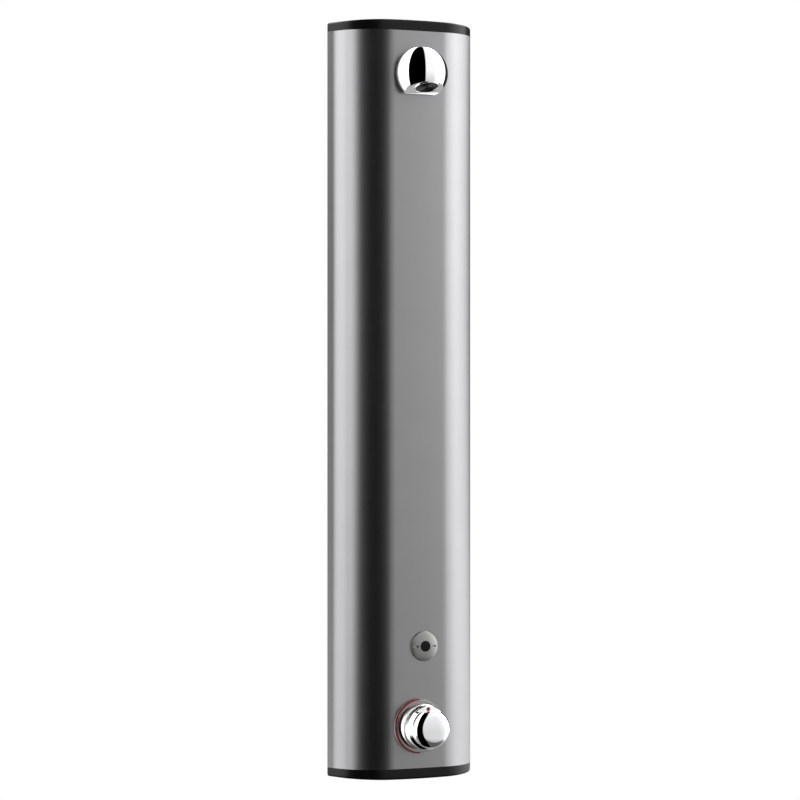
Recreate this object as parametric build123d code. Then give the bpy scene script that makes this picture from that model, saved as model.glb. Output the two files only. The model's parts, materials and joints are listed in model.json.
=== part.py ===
from build123d import *
import os
from math import cos, pi, radians, sin, sqrt, tan

os.makedirs("parts", exist_ok=True)

# Wall-mounted thermostatic shower panel. Millimetres, +Z up, the wall is the plane y = 0,
# the front faces -Y, and the origin is the centre of the four wall screws.

# Extruded panel profile
panel_height = 1150.0
panel_width = 240.0
panel_depth = 70.0
crown_radius = 1400.0
front_flat = 43.4
side_lean = 20.0
profile_wall = 2.5
lip_width = 16.0
rail_spacing = 108.0
rail_width = 14.0
rail_height = 12.0
rail_wall = 2.0
rail_slot = 5.2
port_radius = 4.5
port_bore = 2.1
port_slot = 2.0
port_inset = 10.0
front_port_spacing = 76.0
port_web = 2.5

# End caps
cap_height = 16.5
cap_crown = 3.0
cap_edge_radius = 4.0
cap_wall = 3.0
cap_pocket = 9.5
cap_rim_depth = 6.0
cap_rim_wall = 2.0
cap_rim_span = 56.0
screw_seat = 5.0

# Clearances shared by the fits
slip = 0.3
running = 0.05
thread_gap = 0.1
seal_thickness = 0.8

# Small fasteners
screw_radius = 2.0
screw_head_radius = 3.8
screw_head_height = 3.0
screw_drive_radius = 1.6
screw_drive_depth = 1.6

# Wall brackets
bracket_inset = 75.0
bracket_height = 50.0
bracket_plate = 2.5
bracket_gap = 2.0
wing_reach = 7.0
wall_hole_spacing = 120.0
wall_hole_radius = 3.25
tab_spacing = 100.0
tab_width = 18.0
tab_depth = 24.0
lock_bolt_radius = 2.5
lock_bolt_head = 4.25
lock_bolt_depth = 12.0

# Shower head
head_inset = 82.0
ball_radius = 40.2
ball_standoff = 9.5
head_gasket = 4.0
gasket_inset = 1.0
cut_angle = 70.0
cut_distance = 27.0
outlet_forward = 10.0
outlet_ring_radius = 18.8
outlet_ring_proud = 2.2
nozzle_radius = 17.0
nozzle_depth = 6.0
nozzle_recess = 0.8
nozzle_groove = 1.2
nozzle_ring_pitch = 3.6
nozzle_hole_radius = 0.9
shank_radius = 13.0
shank_length = 20.0
waterway_radius = 6.5
lock_nut_thickness = 7.0
lock_nut_flats = 36.0
union_length = 13.0
union_flats = 30.0

# Pipes
pipe_depth = 26.0
riser_radius = 7.5
riser_bend = 18.0
feed_radius = 6.0
feed_straight = 13.0
pipe_wall = 1.0
nut_length = 12.0
nut_flats = 24.0
clip_drop = 156.0
clip_lift = 55.0
clip_height = 18.0
clip_plate = 3.0
clip_arm = 10.0

# Presence sensor
sensor_inset = 201.0
sensor_offset = 9.0
bezel_radius = 22.4
bezel_edge = 1.4
bezel_dome = 3.6
barrel_radius = 16.0
barrel_length = 16.0
window_radius = 7.9
window_depth = 4.0
spanner_inner = 11.2
spanner_outer = 18.9
spanner_width = 2.8
spanner_depth = 1.2
sensor_core_radius = 12.5
sensor_core_length = 25.0
sensor_nut_thickness = 6.0
sensor_nut_radius = 23.0

# Thermostatic mixer
mixer_inset = 80.5
mixer_radius = 26.0
mixer_back = 12.0
neck_radius = 22.0
neck_proud = 14.0
cartridge_radius = 19.5
cartridge_floor = 17.5
cartridge_flange = 2.6
cartridge_flange_radius = 21.0
mixer_arm_radius = 10.0
mixer_arm_reach = 38.0
lock_ring_radius = 29.0
lock_ring_thickness = 6.0
cartridge_nut_radius = 26.0
cartridge_nut_wall = 2.0
spindle_radius = 5.0
spindle_length = 27.0
spline_count = 20
spline_depth = 0.5

# Trim round the thermostat knob
rosette_radius = 41.5
rosette_flange = 1.2
rosette_step_radius = 38.4
rosette_thickness = 4.6
scale_thickness = 2.6
collar_radius = 35.0
collar_wall = 5.0
collar_edge_radius = 4.0
collar_length = 14.0

# Thermostat knob, lengths measured out from the front of the panel
knob_start = 20.0
skirt_radius = 33.5
skirt_end_radius = 31.8
skirt_length = 13.0
waist_radius = 29.0
waist_run = 3.0
grip_radius = 29.6
grip_length = 34.0
grip_edge_radius = 9.0
knob_dome = 4.0
thumb_flat = 25.0
knob_shell = 3.5
hub_radius = 9.0
cavity_depth = 22.0
index_radius = 2.9
index_depth = 0.8
index_land = 0.4
grub_radius = 2.5
grub_length = 10.0
grub_position = 9.0

# Temperature stop button
button_width = 13.0
button_depth = 8.0
bush_rim = 1.3
button_position = 6.4
button_height = 5.0
button_stem_radius = 2.2
button_travel = 2.5
button_proud = 0.6
bush_length = 11.0
bush_floor = 1.5
spring_radius = 3.4
spring_wire = 0.45
spring_turns = 4

# Inlet stop valves
inlet_side_gap = 45.0
inlet_inset = 150.0
valve_radius = 14.0
valve_front = 44.0
valve_back = 6.0
inlet_thread_radius = 9.3
inlet_thread_length = 11.0
plug_radius = 8.0
plug_length = 22.0
plug_port = 4.5
plug_slot_width = 1.6
plug_slot_depth = 2.0
valve_arm_reach = 22.0
gland_radius = 10.5
gland_length = 5.0

# Solenoid valve
solenoid_inset = 290.0
solenoid_width = 38.0
solenoid_depth = 26.0
solenoid_length = 42.0
solenoid_arm_reach = 32.0
solenoid_arm_radius = 10.0
coil_radius = 13.0
coil_length = 22.0
coil_flange = 2.0
plunger_radius = 5.0
plunger_length = 16.0

# Controller
box_side_gap = 42.0
box_width = 58.0
box_standoff = 2.0
box_depth = 33.0
box_inset = 370.0
box_height = 110.0
box_wall = 2.0
lid_thickness = 2.5
board_thickness = 1.6
board_gap = 4.0
battery_width = 36.0
battery_depth = 19.5
battery_height = 35.0
cable_radius = 2.2
cable_gland = 1.3
cable_bend = 14.0
sensor_cable_column = 52.0
valve_cable_column = 36.0
cable_depth = 46.0

# Places that follow from the panel's ends and sides
front = -panel_depth
low_end = -panel_height / 2
corner_turn = radians(90 - side_lean)
shoulder_width = panel_width / 2 - panel_depth * tan(radians(side_lean))
corner_radius = (shoulder_width - front_flat) / tan(corner_turn / 2)
bracket_spacing = panel_height - 2 * bracket_inset
head_height = panel_height / 2 - head_inset
sensor_height = low_end + sensor_inset
mixer_height = low_end + mixer_inset
inlet_height = low_end + inlet_inset
inlet_spacing = panel_width - 2 * inlet_side_gap
feed_bend = inlet_spacing / 2 - mixer_arm_reach - feed_straight
solenoid_height = low_end + solenoid_inset
box_bottom = low_end + box_inset
box_left = panel_width / 2 - box_side_gap - box_width
clip_top = head_height - clip_drop
clip_bottom = box_bottom + box_height + clip_lift
clip_positions = (clip_bottom, (clip_bottom + clip_top) / 2, clip_top)
profile_length = panel_height - 2 * cap_height
profile_end = profile_length / 2


def crown_y(x):
    """Depth of the crowned front face at a distance x from the centre line."""
    return front + crown_radius - sqrt(crown_radius ** 2 - x ** 2)


def panel_outline(grow=0.0):
    """Plan section of the whole panel, offset outward by grow."""
    half = panel_width / 2
    shoulder = half - panel_depth * tan(radians(side_lean))
    with BuildSketch() as section:
        with BuildLine():
            Polyline((-shoulder, crown_y(shoulder)), (-half, 0), (half, 0), (shoulder, crown_y(shoulder)))
            ThreePointArc((shoulder, crown_y(shoulder)), (0, front), (-shoulder, crown_y(shoulder)))
        make_face()
        fillet(section.vertices().sort_by(Axis.Y)[:2], corner_radius)
    return offset(section.sketch, grow) if grow else section.sketch


def side_wall_x(depth):
    """Distance of the straight side wall from the centre plane at a depth in front of the wall."""
    return panel_width / 2 - depth * tan(radians(side_lean))


def panel_block(grow, middle, height):
    """The panel's outer form as a solid, used to shape what seats on the curved front."""
    return Pos(0, 0, middle - height / 2) * extrude(panel_outline(grow), height)


def face_plane(height, across=0.0, out=0.0):
    """Plane on the front of the panel whose normal points out at the user."""
    return Plane(origin=(across, front - out, height), x_dir=(1, 0, 0), z_dir=(0, -1, 0))


def rod(radius, start, end):
    """Cylinder along local Z from start to end."""
    return Pos(0, 0, (start + end) / 2) * Cylinder(radius, end - start)


def tube(outer, inner, start, end):
    """Hollow cylinder along local Z."""
    return rod(outer, start, end) - rod(inner, start - 1, end + 1)


def hexagon(flats, start, end):
    """Hexagonal bar along local Z, measured across its flats."""
    return Pos(0, 0, start) * extrude(RegularPolygon(flats / 2, 6, major_radius=False), end - start)


def swept_pipe(path, outer, inner):
    """Pipe of round section along a path of straight runs and tangent arcs."""
    start = Plane(origin=path @ 0, z_dir=path % 0)
    skin = sweep(start * Circle(outer), path)
    return skin - sweep(start * Circle(inner), path) if inner else skin


def socket_screw(length):
    """Cap-head screw along local Z: its head sits above z = 0, its shank below."""
    body = rod(screw_head_radius, 0, screw_head_height) + rod(screw_radius, -length, 0)
    drive = hexagon(2 * screw_drive_radius, screw_head_height - screw_drive_depth, screw_head_height + 1)
    body = chamfer(body.edges().sort_by(Axis.Z)[-1], 0.4)
    return body - drive


def port_centres():
    """Centres of the four screw ports that the profile carries from end to end."""
    front_x = front_port_spacing / 2
    rear_x = side_wall_x(port_inset) - port_inset
    return [(side * x, y) for side in (-1, 1) for x, y in ((front_x, crown_y(front_x) + port_inset),
                                                          (rear_x, -port_inset))]


def screw_port(x, y):
    """Round screw port with its web, before its bore and slot are cut."""
    reach = 2 * port_inset
    runs_forward = abs(y) > panel_depth / 2
    web_size = (port_web, reach) if runs_forward else (reach, port_web)
    shift = (0, -reach / 2) if runs_forward else ((reach if x > 0 else -reach) / 2, 0)
    return Pos(x, y) * (Circle(port_radius) + Pos(*shift) * Rectangle(*web_size))


def port_cut(x, y):
    """Bore of a screw port with the slot that lets the die through."""
    inward = (0, port_radius) if abs(y) > panel_depth / 2 else ((-port_radius if x > 0 else port_radius), 0)
    slot_size = (port_slot, 2 * port_radius) if inward[1] else (2 * port_radius, port_slot)
    return Pos(x, y) * (Circle(port_bore) + Pos(*inward) * Rectangle(*slot_size))


def rail_face():
    """Inner face of the mounting rails, as a distance y."""
    return crown_y(rail_spacing / 2) + profile_wall + rail_height


def mounting_rail(side):
    """T-slot rail inside the front wall that carries the clips and the controller."""
    x = side * rail_spacing / 2
    y = rail_face()
    body = Pos(x, y - rail_height) * Rectangle(rail_width, 2 * rail_height)
    inner_width = rail_width - 2 * rail_wall
    inner_height = rail_height - 2 * rail_wall
    chamber = Pos(x, y - rail_wall - inner_height / 2) * Rectangle(inner_width, inner_height)
    slot = Pos(x, y) * Rectangle(rail_slot, 2 * rail_wall + 1)
    return body, chamber + slot


def profile_section():
    """Plan section of the extrusion: curved skin, wall lips, screw ports and rails."""
    outline = panel_outline()
    skin = outline - panel_outline(-profile_wall)
    opening = panel_width - 2 * lip_width
    skin -= Rectangle(opening, 4 * profile_wall)
    cuts = []
    for x, y in port_centres():
        skin += screw_port(x, y) & outline
        cuts.append(port_cut(x, y))
    for side in (-1, 1):
        body, cut = mounting_rail(side)
        skin += body & outline
        cuts.append(cut)
    for cut in cuts:
        skin -= cut
    return skin


def front_profile():
    """Extruded aluminium housing with its three front holes."""
    body = Pos(0, 0, -profile_end) * extrude(profile_section(), profile_length)
    reach = panel_depth / 2
    body -= face_plane(head_height).location * rod(shank_radius + slip, -reach, reach)
    body -= face_plane(sensor_height, sensor_offset).location * rod(barrel_radius + slip, -reach, reach)
    body -= face_plane(mixer_height).location * rod(neck_radius + slip, -reach, reach)
    return body


def cap_rim():
    """Locating rims that enter the profile in front and at both sides."""
    outer = panel_outline(-(profile_wall + slip))
    ring = outer - panel_outline(-(profile_wall + slip + cap_rim_wall))
    front_zone = Pos(0, front) * Rectangle(cap_rim_span, panel_depth)
    side_zone = Pos(0, front * 0.5) * Rectangle(2 * panel_width, panel_depth * 0.3)
    return (ring & front_zone) + (ring & side_zone)


def end_cap():
    """Moulded cap for the upper end, z = 0 at the end of the profile."""
    half = panel_width / 2
    arch = (half ** 2 + cap_crown ** 2) / (2 * cap_crown)
    body = extrude(panel_outline(), cap_height)
    body &= Pos(0, 0, cap_height - arch) * Rot(90, 0, 0) * Cylinder(arch, 4 * panel_depth)
    rim_edges = body.faces().sort_by(Axis.Z)[-1].edges().filter_by(lambda edge: edge.center().Y < -0.01)
    body = fillet(rim_edges, cap_edge_radius)
    body -= extrude(panel_outline(-cap_wall), cap_pocket)
    for x, y in port_centres():
        body += Pos(x, y) * rod(port_radius + cap_rim_wall, 0, cap_pocket)
        body -= Pos(x, y) * rod(screw_radius + slip, -1, cap_height + 1)
        body -= Pos(x, y) * rod(screw_head_radius + slip, screw_seat, cap_height + 1)
    body += Pos(0, 0, -cap_rim_depth) * extrude(cap_rim(), cap_rim_depth + cap_wall)
    return body


def lock_bolt_centres():
    """Plan positions of the two bolts that lock the panel onto the lower bracket."""
    return [(side * tab_spacing / 2, -lock_bolt_depth) for side in (-1, 1)]


def bottom_cap():
    """Lower cap, the upper one turned over, with wells for the lock bolts."""
    body = Pos(0, 0, -profile_end) * mirror(end_cap(), Plane.XY)
    well_floor = -profile_end - screw_seat
    for x, y in lock_bolt_centres():
        body += Pos(x, y) * rod(lock_bolt_head + cap_wall, -profile_end - cap_pocket, -profile_end)
        body -= Pos(x, y) * rod(lock_bolt_radius + slip, -panel_height, 0)
        body -= Pos(x, y) * rod(lock_bolt_head + slip, -panel_height, well_floor)
    return body


def cap_screws():
    """The four screws of the upper cap, in place."""
    screw = socket_screw(screw_seat + 3 * screw_head_height)
    return [Pos(x, y, profile_end + screw_seat) * screw for x, y in port_centres()]


def wall_bracket(height):
    """Joggled plate whose wings hold the profile's lips against the wall."""
    lip_edge = panel_width / 2 - lip_width
    flat = lip_edge - bracket_gap - bracket_plate
    wing = lip_edge + wing_reach
    plate = Rectangle(2 * flat, 2 * bracket_plate)
    plate &= Pos(0, -bracket_plate) * Rectangle(3 * flat, 2 * bracket_plate)
    step = profile_wall + bracket_plate
    for side in (-1, 1):
        web = Rectangle(bracket_plate, step)
        plate += Pos(side * (flat + bracket_plate / 2), -step / 2) * web
        length = wing - flat
        wing_middle = side * (flat + length / 2)
        plate += Pos(wing_middle, -step + bracket_plate / 2) * Rectangle(length, bracket_plate)
    body = Pos(0, 0, height - bracket_height / 2) * extrude(plate, bracket_height)
    for side in (-1, 1):
        hole = Rot(90, 0, 0) * Cylinder(wall_hole_radius, 4 * step)
        body -= Pos(side * wall_hole_spacing / 2, 0, height) * hole
    window = Pos(0, 0, height) * Box(wall_hole_spacing / 2, 4 * step, bracket_height / 2)
    return body - window


def lower_bracket():
    """Lower wall bracket with two tapped tabs for the lock bolts."""
    height = -bracket_spacing / 2
    body = wall_bracket(height)
    floor = height - bracket_height / 2
    for x, y in lock_bolt_centres():
        tab = Pos(x, -tab_depth / 2, floor + bracket_plate / 2) * Box(tab_width, tab_depth, bracket_plate)
        body += tab
        body -= Pos(x, y) * rod(lock_bolt_radius + thread_gap, floor - 1, floor + bracket_plate + 1)
    return body


def lock_bolts():
    """Bolts from the bottom cap up into the lower bracket."""
    start = -profile_end - screw_seat
    end = -bracket_spacing / 2 - bracket_height / 2 + 2 * bracket_plate
    bolt = rod(lock_bolt_head, start - 2 * lock_bolt_radius, start) + rod(lock_bolt_radius, start, end)
    bolt -= hexagon(2 * lock_bolt_radius, start - 2 * lock_bolt_radius - 1, start - lock_bolt_radius)
    return [Pos(x, y) * bolt for x, y in lock_bolt_centres()]


def seated(shape, gap, height):
    """Cuts away what would reach into the curved front, leaving room for a seal."""
    return shape - panel_block(gap, height, 6 * ball_radius)


def clamped(shape, height):
    """Trims an inner nut to the curved inner face of the profile."""
    return shape & panel_block(-profile_wall, height, 6 * ball_radius)


def seal_ring(height, across, outer, inner):
    """Flat rubber seal lying on the curved front."""
    disc = face_plane(height, across).location * tube(outer, inner, -profile_wall, 2 * seal_thickness)
    return (disc & panel_block(seal_thickness, height, 4 * outer)) - panel_block(0, height, 6 * outer)


ball_centre = (0, front - ball_standoff, head_height)


def under_ball(forward=0.0):
    """Plane of the cut under the ball, its normal pointing down and out."""
    lean = radians(cut_angle)
    normal = (0, -cos(lean), -sin(lean))
    ahead = (0, -sin(lean), cos(lean))
    origin = [c + cut_distance * n + forward * a for c, n, a in zip(ball_centre, normal, ahead)]
    return Plane(origin=origin, x_dir=(1, 0, 0), z_dir=normal)


cut_plane = under_ball()
outlet_plane = under_ball(outlet_forward)


def below_cut(gap=0.0):
    """Block under the cut face of the ball, pulled back by a gap."""
    size = 3 * ball_radius
    return cut_plane.location * Pos(0, 0, size / 2 - gap) * Box(size, size, size)


def head_gasket_ring():
    """Thick gasket that fills the gap behind the ball and follows its cut."""
    disc = tube(ball_radius - gasket_inset, shank_radius + slip, -profile_wall, ball_standoff)
    disc = face_plane(head_height).location * disc
    disc &= panel_block(head_gasket, head_height, 4 * ball_radius)
    return disc - panel_block(0, head_height, 6 * ball_radius) - below_cut(slip)


def shower_head_body():
    """Fixed ball head, cut off below, with its shank and waterway."""
    ball = Pos(*ball_centre) * Sphere(ball_radius)
    ball = seated(ball, head_gasket, head_height) - below_cut()
    ball += face_plane(head_height).location * rod(shank_radius, -shank_length, ball_standoff)
    ball -= outlet_plane.location * rod(outlet_ring_radius + thread_gap, -nozzle_depth, ball_radius)
    bore = rod(waterway_radius, -shank_length - 1, ball_standoff + outlet_forward)
    ball -= face_plane(head_height).location * bore
    ball -= outlet_plane.location * rod(waterway_radius, -cut_distance, 0)
    return ball


def head_outlet_ring():
    """Screwed ring that holds the nozzle in the cut face."""
    lip = nozzle_radius - cap_rim_wall
    ring = tube(outlet_ring_radius, nozzle_radius + thread_gap, -nozzle_depth, outlet_ring_proud)
    ring = fillet(ring.edges().sort_by(Axis.Z)[-1], outlet_ring_proud / 3)
    ring += tube(nozzle_radius + 1, lip, -nozzle_depth, 1 - nozzle_depth)
    return outlet_plane.location * ring


def spray_nozzle():
    """Round nozzle plate with concentric grooves and jet holes."""
    face = outlet_ring_proud - nozzle_recess
    body = rod(nozzle_radius, 1 - nozzle_depth, face)
    grooves = [nozzle_ring_pitch * count for count in (1.3, 2.3, 3.3)]
    for radius in grooves:
        body -= tube(radius + nozzle_groove / 2, radius - nozzle_groove / 2, face - nozzle_groove, face + 1)
    body -= rod(nozzle_radius - cap_rim_wall, -nozzle_depth, face - 3 * nozzle_groove)
    for ring, radius in enumerate(grooves):
        for hole in PolarLocations(radius, 6 + 6 * ring):
            body -= hole * rod(nozzle_hole_radius, -nozzle_depth, nozzle_depth)
    return outlet_plane.location * body


def head_lock_nut():
    """Nut that clamps the ball head from inside the panel."""
    depth = profile_wall + lock_nut_thickness
    nut = hexagon(lock_nut_flats, -depth, 0) - rod(shank_radius + thread_gap, -depth - 1, 1)
    return clamped(face_plane(head_height).location * nut, head_height)


def riser_path():
    """Centre line of the pipe that climbs from the solenoid valve and turns into the head."""
    start = (0, -pipe_depth, solenoid_height + solenoid_arm_reach)
    corner = (0, -pipe_depth, head_height)
    end = (0, front + shank_length, head_height)
    return FilletPolyline(start, corner, end, radius=riser_bend)


def head_union_nut():
    """Union nut that draws the riser onto the shank."""
    start = -shank_length - union_length / 2
    nut = hexagon(union_flats, start, start + union_length)
    nut -= rod(riser_radius + thread_gap, start - 1, -shank_length)
    nut -= rod(shank_radius + thread_gap, -shank_length, 0)
    return face_plane(head_height).location * nut


def riser_clip(height):
    """Saddle that bridges both rails and snaps round the riser."""
    bridge_y = rail_face() + clip_plate / 2
    clip = Pos(0, bridge_y, height) * Box(rail_spacing + rail_width, clip_plate, clip_height)
    arm_length = abs(rail_face()) - pipe_depth
    clip += Pos(0, rail_face() + arm_length / 2, height) * Box(clip_arm, arm_length, clip_height)
    clip += Pos(0, -pipe_depth, height) * Cylinder(riser_radius + clip_plate, clip_height)
    clip -= Pos(0, -pipe_depth, height) * Cylinder(riser_radius + slip, clip_height + 1)
    clip -= Pos(0, 0, height) * Box(1.4 * riser_radius, 2 * pipe_depth, clip_height + 1)
    for side in (-1, 1):
        hole = Rot(90, 0, 0) * Cylinder(screw_radius + slip, 2 * clip_plate)
        hole = Pos(side * rail_spacing / 2, bridge_y, height) * hole
        clip -= hole
    return clip


def rail_screw(x, height, thickness):
    """Screw through a plate of given thickness into a mounting rail."""
    place = Plane(origin=(x, rail_face() + thickness, height), x_dir=(1, 0, 0), z_dir=(0, 1, 0))
    return place.location * socket_screw(thickness + rail_height - rail_wall)


def clip_screws():
    """Screws of the riser clips."""
    half = rail_spacing / 2
    return [rail_screw(side * half, height, clip_plate) for height in clip_positions for side in (-1, 1)]


def bezel_surface():
    """Radius of the sensor bezel's shallow dome."""
    return (bezel_radius ** 2 + bezel_dome ** 2) / (2 * bezel_dome)


def sensor_bezel():
    """Domed metal bezel with spanner slots and a threaded barrel."""
    dome = bezel_surface()
    top = bezel_edge + bezel_dome + seal_thickness
    body = rod(bezel_radius, -profile_wall, top) & (Pos(0, 0, top - dome) * Sphere(dome))
    body = seated(face_plane(sensor_height, sensor_offset).location * body, seal_thickness, sensor_height)
    place = face_plane(sensor_height, sensor_offset).location
    body += place * rod(barrel_radius, -barrel_length, seal_thickness + bezel_edge)
    body -= place * rod(sensor_core_radius + thread_gap, -barrel_length - 1, top - window_depth)
    body -= place * rod(window_radius + thread_gap, -barrel_length, top + 1)
    middle = (spanner_inner + spanner_outer) / 2
    for side in (-1, 1):
        slot = Box(spanner_outer - spanner_inner, spanner_width, 2 * spanner_depth + 1)
        slot = Pos(side * middle, 0, top) * slot
        body -= place * Pos(0, 0, -0.4) * slot
    return body


def sensor_window():
    """Dark lens in the middle of the bezel."""
    dome = bezel_surface()
    top = bezel_edge + bezel_dome + seal_thickness
    lens = rod(window_radius, top - window_depth, top) & (Pos(0, 0, top - dome) * Sphere(dome))
    return face_plane(sensor_height, sensor_offset).location * lens


def sensor_core():
    """Potted electronics behind the lens, with its cable gland."""
    top = bezel_edge + bezel_dome + seal_thickness - window_depth
    core = rod(sensor_core_radius, -sensor_core_length, top)
    core = chamfer(core.edges().sort_by(Axis.Z)[0], 1)
    body = face_plane(sensor_height, sensor_offset).location * core
    gland = Plane(origin=(sensor_offset, -cable_depth, sensor_height), z_dir=(1, 0, 0)).location
    return body + gland * rod(cable_radius + cable_gland, 0, sensor_core_radius + cable_gland)


def sensor_nut():
    """Ring nut behind the panel that holds the bezel."""
    depth = profile_wall + sensor_nut_thickness
    nut = tube(sensor_nut_radius, barrel_radius + thread_gap, -depth, 0)
    for notch in PolarLocations(sensor_nut_radius, 6):
        nut -= notch * Box(spanner_width, spanner_width, 4 * depth)
    return clamped(face_plane(sensor_height, sensor_offset).location * nut, sensor_height)


def mixer_body():
    """Brass mixer barrel with two side inlets, a top outlet and a threaded neck."""
    place = face_plane(mixer_height).location
    depth = panel_depth - mixer_back
    barrel = clamped(place * rod(mixer_radius, -depth, 0), mixer_height)
    barrel += place * rod(neck_radius, -panel_depth / 2, neck_proud)
    arm = rod(mixer_arm_radius, 0, mixer_arm_reach)
    bore = rod(feed_radius, cartridge_radius / 2, mixer_arm_reach + 1)
    middle = (0, -pipe_depth, mixer_height)
    directions = ((1, 0, 0), (-1, 0, 0), (0, 0, 1))
    for direction in directions:
        barrel += Plane(origin=middle, z_dir=direction).location * arm
    barrel -= place * rod(cartridge_radius + running, cartridge_floor - panel_depth, neck_proud + 1)
    for direction in directions:
        barrel -= Plane(origin=middle, z_dir=direction).location * bore
    return barrel


def thermostat_cartridge():
    """Thermostatic cartridge with its ports and the bore for the spindle."""
    floor = cartridge_floor - panel_depth
    body = rod(cartridge_radius, floor + slip, neck_proud)
    body += rod(cartridge_flange_radius, neck_proud, neck_proud + cartridge_flange)
    for ring in (0.3, 0.6):
        level = floor + ring * (neck_proud - floor)
        body -= tube(cartridge_radius + 1, cartridge_radius - 1.5, level, level + 3)
    body -= rod(spindle_radius + running, neck_proud - spindle_radius, neck_proud + cartridge_flange + 1)
    return face_plane(mixer_height).location * body


def cartridge_spindle():
    """Splined spindle that the knob turns."""
    start = neck_proud - spindle_radius + slip
    body = rod(spindle_radius, start, start + spindle_length)
    grip_from = knob_start + 2
    for notch in PolarLocations(spindle_radius, spline_count):
        groove = Box(2 * spline_depth, spline_depth, spindle_length)
        body -= notch * Pos(0, 0, grip_from + spindle_length / 2) * groove
    return face_plane(mixer_height).location * body


def mixer_lock_ring():
    """Ring nut that clamps rosette, panel and mixer together."""
    start = rosette_thickness + seal_thickness
    ring = tube(lock_ring_radius, neck_radius + thread_gap, start, start + lock_ring_thickness)
    for notch in PolarLocations(lock_ring_radius, 8):
        ring -= notch * Box(2, 4, 8 * lock_ring_thickness)
    return face_plane(mixer_height).location * ring


def cartridge_nut():
    """Cap nut on the neck that keeps the cartridge down."""
    start = rosette_thickness + seal_thickness + lock_ring_thickness + slip
    top = neck_proud + cartridge_flange
    nut = rod(cartridge_nut_radius, start, top + cartridge_nut_wall)
    nut -= rod(neck_radius + thread_gap, start - 1, neck_proud)
    nut -= rod(cartridge_flange_radius + thread_gap, start - 1, top)
    nut -= rod(cartridge_flange_radius - 3, start, top + cartridge_nut_wall + 1)
    for flat in PolarLocations(cartridge_nut_radius, 6):
        nut -= flat * Box(2, cartridge_nut_radius / 2, 8 * neck_proud)
    return face_plane(mixer_height).location * nut


def base_rosette():
    """Round rosette on the panel with a step for the temperature arc."""
    body = rod(rosette_radius, -profile_wall, seal_thickness + rosette_flange)
    body += rod(rosette_step_radius, 0, seal_thickness + rosette_thickness)
    body -= rod(neck_radius + slip, -profile_wall - 1, panel_depth)
    return seated(face_plane(mixer_height).location * body, seal_thickness, mixer_height)


def temperature_arc():
    """Red half ring on the warm side of the rosette."""
    level = seal_thickness + rosette_flange
    arc = tube(rosette_radius - slip / 2, rosette_step_radius + slip / 2, level, level + scale_thickness)
    arc &= Pos(-rosette_radius, 0, level) * Box(2 * rosette_radius, 4 * rosette_radius, 4 * scale_thickness)
    return face_plane(mixer_height).location * arc


def knob_collar():
    """Chrome sleeve between the rosette and the knob."""
    start = seal_thickness + rosette_thickness
    collar = tube(collar_radius, collar_radius - collar_wall, start, start + collar_length - slip)
    collar = fillet(collar.edges().group_by(Axis.Z)[-1].sort_by(SortBy.LENGTH)[-1], collar_edge_radius)
    return face_plane(mixer_height).location * collar


def knob_outline():
    """Half section of the knob from its skirt to its domed front."""
    skirt_end = knob_start + skirt_length
    grip_start = skirt_end + waist_run
    grip_end = knob_start + grip_length
    dome = (grip_radius ** 2 + knob_dome ** 2) / (2 * knob_dome)
    shoulder = grip_end + knob_dome - dome + sqrt(dome ** 2 - grip_radius ** 2 / 4)
    with BuildSketch(Plane.XZ) as section:
        with BuildLine():
            Polyline((0, knob_start), (skirt_radius, knob_start), (skirt_end_radius, skirt_end),
                     (waist_radius, grip_start), (grip_radius, grip_end))
            ThreePointArc((grip_radius, grip_end), (grip_radius / 2, shoulder), (0, grip_end + knob_dome))
            Line((0, grip_end + knob_dome), (0, knob_start))
        make_face()
        fillet(section.vertices().group_by(Axis.Y)[-2], grip_edge_radius)
    return section.sketch


def thermostat_knob():
    """Chrome knob: conical skirt, waist, round grip, thumb flat and splined hub."""
    body = revolve(knob_outline(), Axis.Z)
    skirt_end = knob_start + skirt_length
    flat_height = 2 * grip_radius
    step = skirt_end + index_land
    flat = Box(4 * grip_radius, flat_height, 2 * grip_length)
    body -= Pos(0, thumb_flat + flat_height / 2, step + grip_length) * flat
    body -= rod(thumb_flat - knob_shell, knob_start - 1, knob_start + cavity_depth)
    body += rod(hub_radius, knob_start + 1, knob_start + cavity_depth + 1)
    body -= rod(spindle_radius + running / 2, 0, knob_start + cavity_depth)
    upward = Plane(origin=(0, 0, knob_start + button_position), x_dir=(1, 0, 0), z_dir=(0, 1, 0)).location
    body -= upward * oval(bush_rim + running, hub_radius + 2, 2 * skirt_radius)
    body -= Pos(0, index_level(), step) * rod(index_radius + running, -index_depth, 1)
    downward = Plane(origin=(0, 0, knob_start + grub_position), x_dir=(1, 0, 0), z_dir=(0, -1, 0)).location
    body -= downward * rod(grub_radius + thread_gap, 0, 2 * skirt_radius)
    return face_plane(mixer_height).location * body


def grub_screw():
    """Grub screw in the knob's hub, reached from below."""
    place = face_plane(mixer_height).location
    downward = Plane(origin=(0, 0, knob_start + grub_position), x_dir=(1, 0, 0), z_dir=(0, -1, 0)).location
    start = spindle_radius + running
    screw = rod(grub_radius, start, start + grub_length)
    screw -= hexagon(grub_radius, start + grub_length - grub_radius, start + grub_length + 1)
    return place * downward * screw


def oval(grow, start, end):
    """Bar along local Z with the button's oval section, grown by a rim."""
    section = Ellipse(button_width / 2 + grow, button_depth / 2 + grow)
    return Pos(0, 0, start) * extrude(section, end - start)


def index_level():
    """Height of the index over the knob's axis, half way up the step."""
    return (skirt_end_radius + thumb_flat) / 2


def index_dot():
    """Red index on the step in front of the button."""
    step = knob_start + skirt_length + index_land
    dot = Pos(0, index_level(), step) * rod(index_radius, -index_depth, index_land)
    return face_plane(mixer_height).location * dot


def button_top(grow):
    """Height of the knob's skirt over its axis at the button."""
    taper = (skirt_radius - skirt_end_radius) / skirt_length
    return skirt_radius - taper * button_position + grow


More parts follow.
